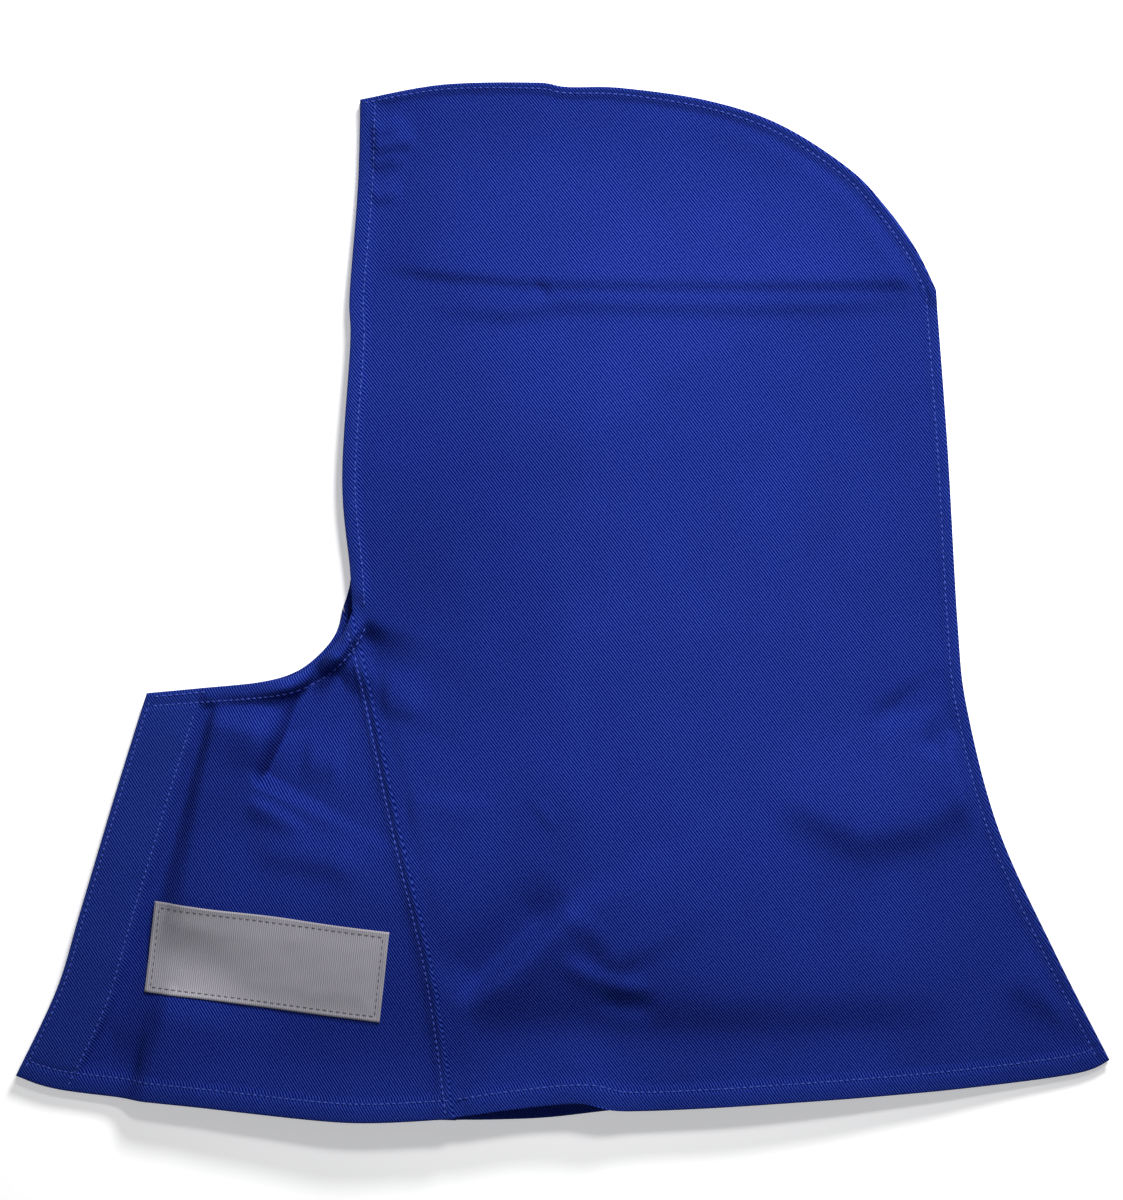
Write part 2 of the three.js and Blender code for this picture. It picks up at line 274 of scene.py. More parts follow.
# %% The arch of the left half
LOFT = 30
NAPE_RUN, FRONT_RUN, OPEN_RUN = 165, 150, 110  # from the seam, the closure or an open edge to the full arch
FACE_SHARE, SHOULDER_SHARE = 0.4, 0.5  # share of the arch that is left at the open edges
PLACKET, PLACKET_REACH = 22, 5  # width, and the run past it over which folds start
SEAM_ALLOWANCE, FOLD_REACH = 4.5, 13  # folds start between these distances from the crown and nape
LOWER_TOP, GAP, TAPE_THICK = 2.2, 0.3, 2.0
TAPE_FALL, TAPE_REACH = 14, 60  # the rise over the tape runs out between these, past the placket
WANDER = [(0.5, 80, 3), (0.14, 26, 4)]  # rise, wave length and seed of the slow unevenness
SWELLS, STRETCH = 7, (0.7, 1.6)  # waves in a ripple, and how their lengths vary
# the neck hem's roll: crest and dip by distance from the edge, with their spreads
ROLL_CREST, ROLL_RISE, ROLL_SPREAD = 3.8, 3.6, 3.2
ROLL_BACK, ROLL_DIP, DIP_BEFORE, DIP_BEHIND = 9.2, 5.5, 2.6, 20.0
# along x it starts low near the closure and grows; it ends just before the throat
ROLL_START, ROLL_GROWS, ROLL_LOW, ROLL_END = (-165, -150), (-135, -110), 0.25, 12


def ripple(x, y, wave, seed):
    """A slow random swell about one wave long, between -1 and 1."""
    rng = np.random.default_rng(seed)
    angles = rng.uniform(0, math.pi, SWELLS)
    phases = rng.uniform(0, 2 * math.pi, SWELLS)
    stretches = rng.uniform(*STRETCH, SWELLS)
    total = 0
    for angle, phase, stretch in zip(angles, phases, stretches):
        run = x * math.cos(angle) + y * math.sin(angle)
        total = total + np.sin(run * 2 * math.pi / (wave * stretch) + phase)
    return total / SWELLS


def swell(x, y, waves, base=0):
    """Ripples added to a base; each row has a rise, a wave length and a seed."""
    return sum((rise * ripple(x, y, wave, seed) for rise, wave, seed in waves), base)


def neck_roll(x, y):
    """The roll of the neck hem, with the dip behind it."""
    to_neck, neck_run = nearest(LEFT["neck"], x, y)
    neck_left = length_of(LEFT["neck"]) - neck_run
    grown = ROLL_LOW + (1 - ROLL_LOW) * soft(x, *ROLL_GROWS)
    rolled = grown * soft(x, *ROLL_START) * soft(neck_left, 0, ROLL_END)
    behind = to_neck - ROLL_BACK
    dip = ROLL_DIP * hump(behind, np.where(behind < 0, DIP_BEFORE, DIP_BEHIND))
    return rolled * (ROLL_RISE * hump(to_neck - ROLL_CREST, ROLL_SPREAD) - dip)


def left_underside(x, y):
    """Height of the left half's inner face above the floor, with its folds."""
    to_nape = np.minimum(nearest(crown, x, y)[0], nearest(nape, x, y)[0])
    to_front = nearest(front, x, y)[0]
    to_face = np.minimum(nearest(LEFT["face"], x, y)[0], nearest(LEFT["neck"], x, y)[0])
    to_hem = np.minimum(nearest(LEFT["bib_hem"], x, y)[0], nearest(LEFT["side_hem"], x, y)[0])
    held = soft(to_nape, 0, NAPE_RUN) * soft(to_front, PLACKET, FRONT_RUN)
    open_face = FACE_SHARE + (1 - FACE_SHARE) * soft(to_face, 0, OPEN_RUN)
    open_hem = SHOULDER_SHARE + (1 - SHOULDER_SHARE) * soft(to_hem, 0, OPEN_RUN)
    past_placket = to_front - PLACKET
    free = soft(to_nape, SEAM_ALLOWANCE, FOLD_REACH) * soft(past_placket, 0, PLACKET_REACH)
    over_tape = (TAPE_THICK + GAP) * (1 - soft(past_placket, TAPE_FALL, TAPE_REACH))
    uneven = fold_height(x, y) + neck_roll(x, y) + swell(x, y, WANDER)
    arch = LOFT * held * open_face * open_hem + free * uneven
    return LOWER_TOP + GAP + np.maximum(over_tape + arch, 0)


sample = left_underside(np.array([30.0, -90.0]), np.array([0.0, 100.0])).round(1)
print("arch at mid panel", sample[0], "mm, at the face edge", sample[1], "mm")

# %% [markdown]
# ## Turned edges
# Every edge of the real hood is turned in and stitched: a hem at the face, neck and shoulders, a seam
# allowance at the crown, nape and bib, and a doubled placket in front. A turned edge is two or three layers,
# so it is thicker, it is round at the fold, and the thread pulls a groove where it runs. Beveling a border
# would only give the round; a thickness that depends on the distance to the edge gives the round, the puff,
# the groove and the step in one go.

# %% Thickness of a panel
CLOTH, TURNED = 1.0, 2.0
LAYER_FULL, LAYER_GONE = 0.6, 2.2  # past the stitch line, the turned layer thins out between these
ROUND, RIM_SHARE = 1.1, 0.3  # radius of the rim, and the share of the thickness left at its very edge
# distance from edge to stitch line; a pair drifts from the start of the edge to its end
HEM = {
    "face": (6.4, 5.2), "neck": (5.6, 7.6), "bib_hem": 8.0, "side_hem": 8.0, "crown": (1.9, 4.6),
    "nape": 4.5, "front": PLACKET, "seam": 3.6,
}
GROOVE, GROOVE_SPREAD = 0.5, 0.9
PUFF = 0.15  # the hem swells between edge and thread
PUCKER, PUCKER_WAVE, PUCKER_SPREAD = 0.3, 11, 5
PULL_FROM_RIM = 2.5  # groove, puff and pucker fade out over this run before the rim
CROWN_BULK, CROWN_FALL = 2.4, 11  # the allowances of both halves lie under the left half's crown edge
# painted sheen: a lighter, greyer twill on the pressed placket, over the turned hems and along each rounded
# rim
PLACKET_SHEEN, HEM_SHEEN, RIM_SHEEN, RIM_SHEEN_SPREAD = 0.3, 0.1, 0.15, 1.6


def hem_line(name, share):
    """Distance of the stitch line from an edge, at a share of the edge's run."""
    return np.interp(share, (0, 1), np.broadcast_to(HEM[name], 2))


def hem_width(name):
    return float(np.max(HEM[name]))


def thickness(half, turned, x, y):
    """Thickness of the cloth, its share that is left towards the round rim, and its share of painted sheen.
    """
    thick = np.full(np.shape(x), CLOTH)
    pull = np.zeros(np.shape(x))
    painted_sheen = np.zeros(np.shape(x))
    rim = np.full(np.shape(x), FAR)
    for name in turned:
        d, run = nearest(half[name], x, y)
        line = hem_line(name, run / length_of(half[name]))
        layer = 1 - soft(d, line + LAYER_FULL, line + LAYER_GONE)
        thick = np.maximum(thick, CLOTH + (TURNED - CLOTH) * layer)
        if name == "crown" and half is LEFT:
            thick = thick + CROWN_BULK * np.exp(-d / CROWN_FALL)
        puff = 0 if name == "front" else PUFF * np.sin(np.pi * np.clip(d / line, 0, 1))
        wave = ripple(run, 0 * run, PUCKER_WAVE, len(name)) * hump(d - line, PUCKER_SPREAD)
        pull = pull + puff - GROOVE * hump(d - line, GROOVE_SPREAD) + PUCKER * wave
        rim = np.minimum(rim, d)
        # placket, hems and rim get painted sheen: the lighter twill stands in for light off the cloth
        sheened = PLACKET_SHEEN if name == "front" else HEM_SHEEN
        painted_sheen = np.maximum(painted_sheen, layer * sheened + RIM_SHEEN * hump(d, RIM_SHEEN_SPREAD))
    t = np.clip(rim / ROUND, 0, 1)
    rounding = RIM_SHARE + (1 - RIM_SHARE) * np.sqrt(1 - (1 - t) ** 2)
    return thick + pull * soft(rim, 0, PULL_FROM_RIM), rounding, painted_sheen


print("stitch lines up to", {name: hem_width(name) for name in HEM}, "mm from the edge")

# %% [markdown]
# ## From four edges to a closed sheet
# A panel is a patch blended between its four edges. Its grid lines keep a fixed distance from each edge, so
# that the hem has rows of its own, and spread evenly between. The top and the bottom face share that grid,
# and a strip round the rim closes the sheet: the mesh has no open border and no stray face.

# %% Patch and grid
RIM_LINES = [0, 0.35, 0.9]  # close lines that draw the round of the rim
HEM_STEP = 1.3  # between grid lines inside a hem


def along(edge, share):
    """Points at these shares of an edge's run."""
    at, index = np.asarray(share) * EDGE_STEPS, np.arange(EDGE_STEPS + 1)
    return np.stack([np.interp(at, index, edge[:, k]) for k in (0, 1)], axis=-1)


def patch(top, right, bottom, left, u, v):
    """Points of the patch between four edges; top and bottom run front to back, left and right run down."""
    u1, v1 = u[..., None], v[..., None]
    upper, lower = (1 - u1) * top[0] + u1 * top[-1], (1 - u1) * bottom[0] + u1 * bottom[-1]
    corners = (1 - v1) * upper + v1 * lower
    rows = (1 - v1) * along(top, u) + v1 * along(bottom, u)
    columns = (1 - u1) * along(left, v) + u1 * along(right, v)
    return rows + columns - corners


def rim_lines(turn):
    """Distances from an edge at which the turned cloth needs a grid line."""
    inset = RIM_LINES[-1]
    inner = np.linspace(inset, turn - inset, max(2, round(turn / HEM_STEP)))[1:]
    return np.concatenate([RIM_LINES, inner, [turn, turn + inset, turn + LAYER_GONE]])


def grid_lines(length, first_turn, last_turn, count):
    first, last = rim_lines(first_turn), rim_lines(last_turn)[::-1]
    inner = np.linspace(first[-1], length - last[0], count + 2)[1:-1]
    return np.concatenate([first, inner, length - last]) / length


def panel_grid(top, right, bottom, left, turns, pitch):
    """Plan position of each grid point; turns are the hem widths at the left, right, top and bottom."""
    def width(v):
        return np.hypot(*(along(right, v) - along(left, v)).T)

    def height(u):
        return np.hypot(*(along(bottom, u) - along(top, u)).T)

    columns, rows = (round(float(size(0.5)) / pitch) for size in (width, height))
    mid_u = grid_lines(float(width(0.5)), turns[0], turns[1], columns)
    mid_v = grid_lines(float(height(0.5)), turns[2], turns[3], rows)
    u = np.array([grid_lines(float(width(v)), turns[0], turns[1], columns) for v in mid_v])
    v = np.array([grid_lines(float(height(w)), turns[2], turns[3], rows) for w in mid_u]).T
    return patch(top, right, bottom, left, u, v)


print("a shoulder hem has", len(rim_lines(hem_width("side_hem"))), "grid lines")

# %% Closed sheet
WEAVE_WRAP = 0.7  # share of the half thickness by which the weave is carried on round the rim


def link_piece(name, points, faces):
    """A smooth mesh object in the scene; points are in millimetres."""
    mesh = bpy.data.meshes.new(name)
    mesh.from_pydata((points * MM).tolist(), [], faces)
    mesh.polygons.foreach_set("use_smooth", np.ones(len(faces), bool))
    mesh.update()
    piece = bpy.data.objects.new(name, mesh)
    bpy.context.collection.objects.link(piece)
    return piece


def lay_weave(mesh, points, thick, weave_turn):
    """A UV map in metres, turned as the ribs run, that goes on round the rim."""
    half = np.concatenate([thick.ravel(), -thick.ravel()]) / 2 * MM
    wrapped = points[:, :2] * MM + WEAVE_WRAP * half[:, None]
    turn = math.radians(weave_turn)
    cos, sin = math.cos(turn), math.sin(turn)
    flat = wrapped @ np.array([[cos, sin], [-sin, cos]])
    corner = np.empty(len(mesh.loops), np.int32)
    mesh.loops.foreach_get("vertex_index", corner)
    mesh.uv_layers.new(name="weave").data.foreach_set("uv", flat[corner].ravel())


def closed_sheet(name, plan, low, high, painted_sheen, weave_turn):
    """A closed mesh over a grid of plan points with a lower and an upper height, and its weave."""
    rows, columns = plan.shape[:2]
    points = np.vstack([np.dstack([plan, z]).reshape(-1, 3) for z in (high, low)])
    index = np.arange(rows * columns).reshape(rows, columns)
    corners = [index[:-1, :-1], index[1:, :-1], index[1:, 1:], index[:-1, 1:]]
    quads = np.stack(corners, axis=-1).reshape(-1, 4)
    ring = np.concatenate([index[0, :-1], index[:-1, -1], index[-1, :0:-1], index[:0:-1, 0]])
    ahead = np.roll(ring, -1)
    wall = np.stack([ring, ahead, ahead + index.size, ring + index.size], axis=-1)
    faces = np.vstack([quads, quads[:, ::-1] + index.size, wall]).tolist()
    piece = link_piece(name, points, faces)
    # each point's share of painted sheen
    sheen_share = piece.data.attributes.new("painted_sheen", "FLOAT", "POINT")
    sheen_share.data.foreach_set("value", np.tile(painted_sheen.ravel(), 2))
    lay_weave(piece.data, points, high - low, weave_turn)
    print(name, len(faces), "faces")
    return piece


# %% [markdown]
# ## Cotton twill
# Flame-resistant work twill is piece-dyed cotton, woven so that each weft thread passes over several warp
# threads one step further on: that gives fine diagonal ribs. The surface is matt and a little fuzzy, so it
# has almost no gloss but a pale sheen where it turns away. A lighter twill is also painted in as sheen on
# the placket, the hems and the rims. The ribs are drawn as a wave along the flat weave layout, the slubs as
# noise, and both feed colour and bump. A single colour would look like felt or plastic.

# %% Colours and nodes
def linear(hex_colour):
    """An sRGB hex colour as linear red, green, blue and alpha."""
    parts = [int(hex_colour[k : k + 2], 16) / 255 for k in (1, 3, 5)]
    return [c / 12.92 if c <= 0.04045 else ((c + 0.055) / 1.055) ** 2.4 for c in parts] + [1.0]


def add(material, kind, settings=None, stops=(), **inputs):
    """Adds a node; an input takes a value or an output socket to link, and a ramp takes stops."""
    node = material.node_tree.nodes.new("ShaderNode" + kind)
    for name, value in (settings or {}).items():
        setattr(node, name, value)
    for k, (place, colour) in enumerate(stops):
        band = node.color_ramp.elements
        stop = band[k] if k < len(band) else band.new(place)
        stop.position, stop.color = place, linear(colour)
    for name, value in inputs.items():
        socket = node.inputs[int(name[1:])] if name[0] == "_" else node.inputs[name.replace("_", " ")]
        if isinstance(value, bpy.types.NodeSocket):
            material.node_tree.links.new(value, socket)
        else:
            socket.default_value = value
    return node


def bare_material(name):
    material = bpy.data.materials.new(name)
    material.use_nodes = True
    material.node_tree.nodes.clear()
    print("material", name)
    return material


# %% Twill in royal blue
TWILL_PITCH = 1.05 * MM  # real ribs are about 0.9 mm apart: drawn a little coarser, so that they show
WAVE_UNIT = 2 * math.pi / 20  # the wave texture's own length at scale 1
SLUB = 0.8  # how much the slubs break up the ribs
# lighter, greyer twill colours for the painted sheen
SHEEN_GROOVE, SHEEN_RIB = "#041552", "#2c4496"
SHEEN = "#8fa4f0"


def twill_material(name, groove, body, rib):
    """Piece-dyed cotton twill: diagonal ribs, slubs, slow fading, matt with a pale sheen, and a lighter
    twill as painted sheen by each point's share.
    """
    m = bare_material(name)
    weave = add(m, "UVMap", dict(uv_map="weave")).outputs["UV"]
    ribs = add(m, "TexWave", dict(wave_type="BANDS", bands_direction="X"), Vector=weave,
               Scale=WAVE_UNIT / TWILL_PITCH, Distortion=0.5, Detail=2.0, Detail_Scale=1.2).outputs["Fac"]
    slub = add(m, "TexNoise", Vector=weave, Scale=0.9 / MM, Detail=3.0, Roughness=0.6).outputs["Fac"]
    fade = add(m, "TexNoise", Vector=weave, Scale=0.03 / MM, Detail=4.0, Roughness=0.6).outputs["Fac"]
    sheen_share = add(m, "Attribute", dict(attribute_name="painted_sheen")).outputs["Fac"]
    uneven = add(m, "Math", dict(operation="MULTIPLY_ADD"), _0=slub, _1=SLUB, _2=-SLUB / 2).outputs[0]
    tone = add(m, "Math", dict(operation="ADD"), _0=ribs, _1=uneven).outputs[0]
    dyed = add(m, "ValToRGB", stops=[(0.1, groove), (0.5, body), (0.95, rib)], Fac=tone).outputs[0]
    # painted sheen: the lighter twill mixed in by each point's share
    sheened = add(m, "ValToRGB", stops=[(0.0, SHEEN_GROOVE), (1.0, SHEEN_RIB)], Fac=tone).outputs[0]
    mixed = add(m, "Mix", dict(data_type="RGBA"), _0=sheen_share, _6=dyed, _7=sheened).outputs[2]
    age = add(m, "MapRange", _0=fade, _1=0.3, _2=0.7, _3=0.95, _4=1.05).outputs[0]
    aged = add(m, "VectorMath", dict(operation="SCALE"), _0=mixed, Scale=age).outputs[0]
    rough = add(m, "MapRange", _0=tone, _1=0.0, _2=1.0, _3=0.95, _4=0.8).outputs[0]
    height = add(m, "Bump", Strength=0.5, Distance=0.25 * MM, Height=tone).outputs[0]
    shader = add(m, "BsdfPrincipled", Base_Color=aged, Roughness=rough, Normal=height, IOR=1.5,
                 Specular_IOR_Level=0.04, Sheen_Weight=0.02, Sheen_Roughness=0.4, Sheen_Tint=linear(SHEEN))
    add(m, "OutputMaterial", Surface=shader.outputs[0])
    return m


royal_twill = twill_material("royal_blue_cotton_twill", "#000850", "#051569", "#2b3f90")
print("twill ribs every", TWILL_PITCH / MM, "mm")

# %% [markdown]
# ## The side panels
# The side panel runs from the face edge over the head to the nape and down to the shoulder hem. Along the
# bib it goes under the bib's folded edge, as in a real topstitched seam, so no slit shows between the two.
# The right one is the same cut lying flat on the floor.

# %% Side panels
LAP, LAP_STARTS, LAP_FULL = 3.0, 2, 14  # width under the bib, which grows over this run from the throat
LAP_SHARE, LAP_EASE = 0.4, (3, 9)  # the cloth is pressed thin in the lap, and full again away from the seam
SIDE_PITCH, BIB_PITCH, HIDDEN_PITCH = 2.1, 1.4, 4.5  # between grid lines
SIDE_WEAVE, BIB_WEAVE = -37, -33  # degrees by which the ribs are turned
SIDE_TURNED = ["face", "crown", "nape", "side_hem"]


def cloth_sheet(name, plan, low, thick, rounding, painted_sheen, weave_turn):
    """A closed sheet of this thickness, whose rim is rounded towards its middle."""
    middle, half = low + thick / 2, rounding * thick / 2
    return closed_sheet(name, plan, middle - half, middle + half, painted_sheen, weave_turn)


def lapped(face, seam):
    """The front edge of a side panel: the face edge, then the seam, carried under the bib by the lap."""
    run = np.linspace(0, length_of(seam), len(seam))
    under = seam - np.column_stack([LAP * soft(run, LAP_STARTS, LAP_FULL), 0 * run])
    return evenly(np.vstack([face, under[1:]]))


def side_panel(name, half, underside, pitch):
    turns = [hem_width(edge) for edge in ("face", "nape", "crown", "side_hem")]
    left = lapped(half["face"], half["seam"])
    plan = panel_grid(half["crown"], half["nape"], half["side_hem"], left, turns, pitch)
    x, y = plan[..., 0], plan[..., 1]
    thick, rounding, painted_sheen = thickness(half, SIDE_TURNED, x, y)
    to_seam = nearest(half["seam"], x, y)[0]
    thick = thick * (LAP_SHARE + (1 - LAP_SHARE) * soft(to_seam, *LAP_EASE))
    return cloth_sheet(name, plan, underside(x, y), thick, rounding, painted_sheen, SIDE_WEAVE)


def on_floor(x, y):
    return np.zeros(np.shape(x))


left_side = side_panel("left_side_cloth", LEFT, left_underside, SIDE_PITCH)
right_side = side_panel("right_side_cloth", RIGHT, on_floor, HIDDEN_PITCH)

# %% [markdown]
# ## The bibs
# The bib closes under the chin. Its front edge is the doubled placket, its neck edge a hem that rolls up
# towards the throat, and at the seam its allowance is folded under and lies on the side panel. So its
# inner face is lifted there by the thin lap, and the seam shows as a small step with a shadow, not as a
# drawn line.

# %% Bibs
BIB_TURNED = ["front", "neck", "bib_hem", "seam"]
SEAM_LIFT, LIFT_FULL, LIFT_GONE = 0.6, 1, 7  # it runs out between these distances past the lap


def bib_panel(name, half, underside, pitch):
    turns = [hem_width(edge) for edge in ("front", "seam", "neck", "bib_hem")]
    plan = panel_grid(half["neck"], half["seam"], half["bib_hem"], half["front"], turns, pitch)
    x, y = plan[..., 0], plan[..., 1]
    thick, rounding, painted_sheen = thickness(half, BIB_TURNED, x, y)
    return cloth_sheet(name, plan, underside(x, y), thick, rounding, painted_sheen, BIB_WEAVE)


def over_lap(half, underside):
    """The height of an inner face that is lifted where the side panel runs under it."""
    def height(x, y):
        to_seam = nearest(half["seam"], x, y)[0]
        return underside(x, y) + SEAM_LIFT * (1 - soft(to_seam, LAP + LIFT_FULL, LAP + LIFT_GONE))

    return height


left_bib_underside = over_lap(LEFT, left_underside)
left_bib = bib_panel("left_bib_cloth", LEFT, left_bib_underside, BIB_PITCH)
right_bib = bib_panel("right_bib_cloth", RIGHT, over_lap(RIGHT, on_floor), HIDDEN_PITCH)
for cloth in (left_side, right_side, left_bib, right_bib):
    cloth.data.materials.append(royal_twill)

# %% [markdown]
# ## The closure tape
# Two strips of nylon hook-and-loop tape, pressed together, hold the placket shut. Fastened, they show only
# as a dark fuzzy line between the two halves, so one strip stands for both; its fuzz is noise in the bump.

# %% Closure tape
TAPE = dict(edge=1.0, width=20.0, ends=10.0, rows=60, columns=10)


def beside(edge, distance):
    """The line that runs beside an edge, on the right of its run."""
    ahead = np.gradient(edge, axis=0)
    ahead /= np.hypot(*ahead.T)[:, None]
    across = np.broadcast_to(distance, len(edge))[:, None]
    return edge + across * np.column_stack([ahead[:, 1], -ahead[:, 0]])


def part_of(edge, start, end):
    """The piece of an edge between two lengths; the end is counted from the far corner."""
    total = length_of(edge)
    return along(edge, np.linspace(start / total, 1 - end / total, EDGE_STEPS + 1))


def strip_grid(outer, inner, rows, columns):
    """Plan points of a strip between two lines, closer together towards its four sides."""
    down = (1 - np.cos(np.linspace(0, math.pi, rows))) / 2
    over = (1 - np.cos(np.linspace(0, math.pi, columns))) / 2
    first, last = along(outer, down)[:, None], along(inner, down)[:, None]
    return first + (last - first) * over[None, :, None]


outer = part_of(beside(front, -TAPE["edge"]), TAPE["ends"], TAPE["ends"])
inner = part_of(beside(front, -TAPE["edge"] - TAPE["width"]), TAPE["ends"], TAPE["ends"])
tape_plan = strip_grid(outer, inner, TAPE["rows"], TAPE["columns"])
tape_low = np.full(tape_plan.shape[:2], LOWER_TOP + GAP / 2)
# no painted sheen on the tape
no_sheen = 0 * tape_low
tape = closed_sheet("closure_tape_strip", tape_plan, tape_low, tape_low + TAPE_THICK, no_sheen, weave_turn=0)

# %% Nylon of the tape
LOOP = 1 * MM  # the loops are about 1 mm across and give a dull, broken surface
nylon = bare_material("navy_nylon_hook_and_loop")
weave = add(nylon, "UVMap", dict(uv_map="weave")).outputs["UV"]
loops = add(nylon, "TexNoise", Vector=weave, Scale=1 / LOOP, Detail=3.0).outputs["Fac"]
fuzz = add(nylon, "ValToRGB", stops=[(0.3, "#0a1440"), (0.7, "#1d2f7a")], Fac=loops).outputs[0]
bump = add(nylon, "Bump", Strength=0.7, Distance=0.3 * MM, Height=loops).outputs[0]
shader = add(nylon, "BsdfPrincipled", Base_Color=fuzz, Roughness=0.75, Normal=bump, IOR=1.53)
add(nylon, "OutputMaterial", Surface=shader.outputs[0])
tape.data.materials.append(nylon)

# %% [markdown]
# ## The label
# A woven polyester label is sewn on the bib, a little askew, with a dark thread near its edges. Satin weave
# makes it smoother than the twill, so it takes broad soft glints, and the thread pulls its border down and
# leaves it wavy in between. It follows the cloth below: its lower face is the bib's own surface plus a hair.

# %% Label
LABEL = dict(width=102.0, height=39.0, x=-126.3, y=-153.2, turn=-6.5, thick=0.5, pitch=1.0)
LABEL_LINE, LABEL_FREE = 2.4, 11  # from the edge to the thread, and to where the label is fully slack
LABEL_BRIDGE = 6  # reach over which the label, stiffer than the bib, bridges dips
LABEL_OFF, LABEL_SLACK, LABEL_CURL = 0.1, 0.35, 0.25  # stand-off all over, inside the thread and at the edge
CURL_GONE = 0.5  # the curl ends this far outside the thread
# rise, wave length and seed of its waves, of its curled edge and of its ragged outline
LABEL_WAVES = [(0.35, 26, 8), (0.12, 9, 9)]
CURL_WAVES = [(1, 14, 6)]
RAGGED_WAVES = [(0.25, 30, 5)]


def bib_top(x, y):
    """Height of the left bib's outer face."""
    thick, rounding, _ = thickness(LEFT, BIB_TURNED, x, y)
    return left_bib_underside(x, y) + thick * (1 + rounding) / 2


def label_bed(x, y):
    """Height of what the label lies on: the bib, or a mean of it round each point where that is higher."""
    steps = (-LABEL_BRIDGE, 0, LABEL_BRIDGE)
    around = [bib_top(x + dx, y + dy) for dx in steps for dy in steps]
    return np.maximum(bib_top(x, y), np.mean(around, axis=0))


def label_place(across, up):
    """Plan position of a point that is measured on the label from its middle."""
    turn = math.radians(LABEL["turn"])
    x = LABEL["x"] + across * math.cos(turn) - up * math.sin(turn)
    return x, LABEL["y"] + across * math.sin(turn) + up * math.cos(turn)


def label_lift(across, up):
    """How far the label stands off the bib: pulled down along its thread, wavy between."""
    rim = np.minimum(LABEL["width"] / 2 - abs(across), LABEL["height"] / 2 - abs(up))
    slack = swell(across, up, LABEL_WAVES, LABEL_SLACK) * soft(rim, LABEL_LINE, LABEL_FREE)
    curl = LABEL_CURL * (1 - soft(rim, 0, LABEL_LINE - CURL_GONE))
    return LABEL_OFF + slack + curl * swell(across + 2 * up, 0 * up, CURL_WAVES, 1)


across, up = np.meshgrid(
    np.linspace(-0.5, 0.5, round(LABEL["width"] / LABEL["pitch"])) * LABEL["width"],
    np.linspace(0.5, -0.5, round(LABEL["height"] / LABEL["pitch"])) * LABEL["height"],
)
ragged = swell(across, up, RAGGED_WAVES)
label_plan = np.dstack(label_place(across + ragged, up + ragged))
label_low = label_bed(label_plan[..., 0], label_plan[..., 1]) + label_lift(across, up)
# no painted sheen on the label
no_sheen = 0 * label_low
label = closed_sheet("label_cloth", label_plan, label_low, label_low + LABEL["thick"], no_sheen,
                     weave_turn=-LABEL["turn"])

# %% Satin of the label
FLOAT_PITCH = 0.9 * MM  # satin floats are about 0.3 mm apart: drawn coarser, so that they show
satin = bare_material("grey_woven_polyester_satin")
weave = add(satin, "UVMap", dict(uv_map="weave")).outputs["UV"]
threads = add(satin, "TexWave", dict(wave_type="BANDS", bands_direction="X"), Vector=weave,
              Scale=WAVE_UNIT / FLOAT_PITCH, Distortion=1.5, Detail=2.0).outputs["Fac"]
blur = add(satin, "TexNoise", Vector=weave, Scale=0.12 / MM, Detail=4.0).outputs["Fac"]
silver = add(satin, "ValToRGB", stops=[(0.0, "#7c7982"), (1.0, "#9f9ca4")], Fac=threads).outputs[0]
gloss = add(satin, "MapRange", _0=blur, _1=0.3, _2=0.7, _3=0.45, _4=0.6).outputs[0]
bump = add(satin, "Bump", Strength=0.35, Distance=0.15 * MM, Height=threads).outputs[0]
shader = add(satin, "BsdfPrincipled", Base_Color=silver, Roughness=gloss, Normal=bump, IOR=1.57)
add(satin, "OutputMaterial", Surface=shader.outputs[0])
label.data.materials.append(satin)

# %% [markdown]
# ## Stitches
# Lockstitch shows as a row of short dashes of thread, each diving into the cloth at both ends. A dashed
# texture would lie flat and lose its shadow, so each stitch is a small round bar that follows the cloth and
# dips at its ends. All stitches of one panel are joined into one mesh.

# %% Stitch bars
STITCH, PITCH, THREAD = 2.1, 2.7, 0.34  # length, spacing and radius
RINGS, SIDES = 5, 6
FIRST_STITCH = 0.12  # share of the spacing before the first stitch
SIT, DIVE = 0.75, 1.5  # in radii: how high the middle lies above the cloth, and how far the ends go down
TAPER = 0.85


def stitch_middles(line, pitch):
    """Points along the middle of each stitch of a row."""
    total = length_of(line)
    count = int(total / pitch)
    start = (np.arange(count) + FIRST_STITCH) * total / count
    share = (start[:, None] + np.linspace(0, STITCH * pitch / PITCH, RINGS)) / total
    return along(line, np.clip(share, 0, 1))


def stitch_mesh(name, rows, top, radius=THREAD, pitch=PITCH):
    """One mesh of all stitches in these rows; top gives the height of the cloth below."""
    middle = np.vstack([stitch_middles(row, pitch) for row in rows])
    t = np.linspace(-1, 1, RINGS)
    z = top(middle[..., 0], middle[..., 1]) + radius * (SIT - DIVE * t**4)
    ahead = middle[:, -1] - middle[:, 0]
    ahead /= np.hypot(*ahead.T)[:, None]
    angle = np.arange(SIDES) * 2 * math.pi / SIDES
    girth = radius * np.sqrt(1 - TAPER * t**4)[:, None]
    over = (girth * np.cos(angle))[None]
    points = np.stack([
        middle[:, :, None, 0] - ahead[:, None, None, 1] * over,
        middle[:, :, None, 1] + ahead[:, None, None, 0] * over,
        z[:, :, None] + (girth * np.sin(angle))[None] + 0 * over,
    ], axis=-1)
    index = np.arange(RINGS * SIDES).reshape(RINGS, SIDES)
    turned = np.roll(index, -1, axis=1)
    bars = np.stack([index[:-1], turned[:-1], turned[1:], index[1:]], axis=-1).reshape(-1, 4)[:, ::-1]
    shift = np.arange(len(middle)) * RINGS * SIDES
    faces = (bars[None] + shift[:, None, None]).reshape(-1, 4).tolist()
    for cap in (index[0], index[-1][::-1]):
        faces += (cap[None] + shift[:, None]).tolist()
    print(name, len(middle), "stitches")
    return link_piece(name, points.reshape(-1, 3), faces)


